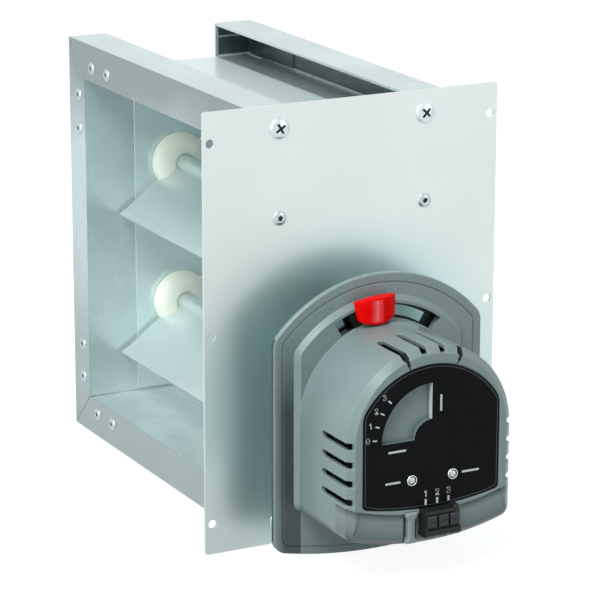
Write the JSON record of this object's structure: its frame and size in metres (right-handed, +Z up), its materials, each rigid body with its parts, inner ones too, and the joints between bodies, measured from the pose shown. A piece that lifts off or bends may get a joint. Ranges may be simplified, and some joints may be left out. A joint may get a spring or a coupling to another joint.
{
  "type": "volume control damper",
  "caption": "Rectangular duct damper with parallel blades in a channel frame, side mounting plate and arched electric operator with dial window and release tab.",
  "frame": {"origin": "centre of the mounting plate's back face, which lies on the duct wall", "axes": "+X along the air flow, +Y into the duct along the blade shafts, +Z up"},
  "size_m": [0.189, 0.356, 0.259],
  "materials": {
    "galvanised": "galvanised sheet, satin",
    "bracket": "galvanised sheet, satin",
    "brushed_plate": "brushed vertically",
    "rivet": "satin",
    "screw": "zinc plated",
    "seal": "satin strip",
    "bush": "satin",
    "blade": "mill finish",
    "disc": "semi-gloss nylon",
    "shaft": "zinc plated",
    "linkage": "zinc plated",
    "operator_base": "semi-gloss",
    "housing": "semi-gloss",
    "label": "satin",
    "lamp": "clear grey",
    "terminal": "satin",
    "button": "satin",
    "wire_guide": "satin",
    "gear": "acetal",
    "motor_can": "satin",
    "board": "satin",
    "indicator": "satin",
    "release_slider": "satin",
    "release_tab": "gloss"
  },
  "bodies": {
    "frame": {"top_channel": "galvanised", "bottom_channel": "galvanised", "far_jamb": "galvanised", "near_jamb": "galvanised", "corner_brackets": "bracket", "frame_rivets": "rivet", "mounting_plate": "brushed_plate", "plate_screws": "screw", "plate_rivets": "rivet", "far_seal": "seal", "near_seal": "seal", "far_bush_low": "bush", "far_bush_up": "bush", "near_bush_low": "bush", "near_bush_up": "bush", "standoffs": "linkage", "base_screws": "screw", "operator_base": "operator_base", "housing": "housing", "face_plate": "label", "open_lamp": "lamp", "closed_lamp": "lamp", "terminal_block": "terminal", "wire_guide": "wire_guide", "gear_plate": "linkage", "motor": "motor_can", "circuit_board": "board"},
    "lower_vane": {"lower_blade": "blade", "lower_far_disc": "disc", "lower_near_disc": "disc", "lower_shaft": "shaft", "lower_crank": "linkage", "coupling_hub": "shaft", "hub_screw": "screw", "drive_gear": "gear", "indicator": "indicator"},
    "upper_vane": {"upper_blade": "blade", "upper_far_disc": "disc", "upper_near_disc": "disc", "upper_shaft": "shaft", "upper_crank": "linkage"},
    "tie_link": {"tie_bar": "linkage"},
    "motor_drive": {"motor_pinion": "gear"},
    "release_lever": {"release_arm": "release_slider", "release_tab": "release_tab"},
    "button_1": {"wire_button_1": "button"},
    "button_2": {"wire_button_2": "button"},
    "button_3": {"wire_button_3": "button"}
  },
  "joints": [
    {"name": "damper_drive", "type": "hinge", "parent": "frame", "child": "lower_vane", "pos_m": [0, 0, -0.0455], "axis": [0, -1, 0], "range_deg": [-36.5, 51.5]},
    {"name": "upper_blade_turn", "type": "hinge", "parent": "frame", "child": "upper_vane", "pos_m": [0, 0, 0.0455], "axis": [0, -1, 0], "range_deg": [-37.5, 52.5]},
    {"name": "tie_bar_pivot", "type": "hinge", "parent": "lower_vane", "child": "tie_link", "pos_m": [0.02181, 0.0105, -0.04837], "axis": [0, -1, 0], "range_deg": [-52.5, 37.5]},
    {"name": "motor_turn", "type": "hinge", "parent": "frame", "child": "motor_drive", "pos_m": [0, -0.052, -0.0778], "axis": [0, -1, 0], "range_deg": [-125, 89]},
    {"name": "release_turn", "type": "hinge", "parent": "frame", "child": "release_lever", "pos_m": [0, 0, -0.0455], "axis": [0, -1, 0], "range_deg": [-33, 8]},
    {"name": "button_press_1", "type": "slide", "parent": "frame", "child": "button_1", "axis": [0, 1, 0], "range_m": [0, 0.0016], "stiffness_N_per_m": 600},
    {"name": "button_press_2", "type": "slide", "parent": "frame", "child": "button_2", "axis": [0, 1, 0], "range_m": [0, 0.0016], "stiffness_N_per_m": 600},
    {"name": "button_press_3", "type": "slide", "parent": "frame", "child": "button_3", "axis": [0, 1, 0], "range_m": [0, 0.0016], "stiffness_N_per_m": 600}
  ],
  "couplings": [
    {"joint": "upper_blade_turn", "follows": "damper_drive", "ratio": 1},
    {"joint": "tie_bar_pivot", "follows": "damper_drive", "ratio": -1},
    {"joint": "motor_turn", "follows": "damper_drive", "ratio": -2.4}
  ]
}
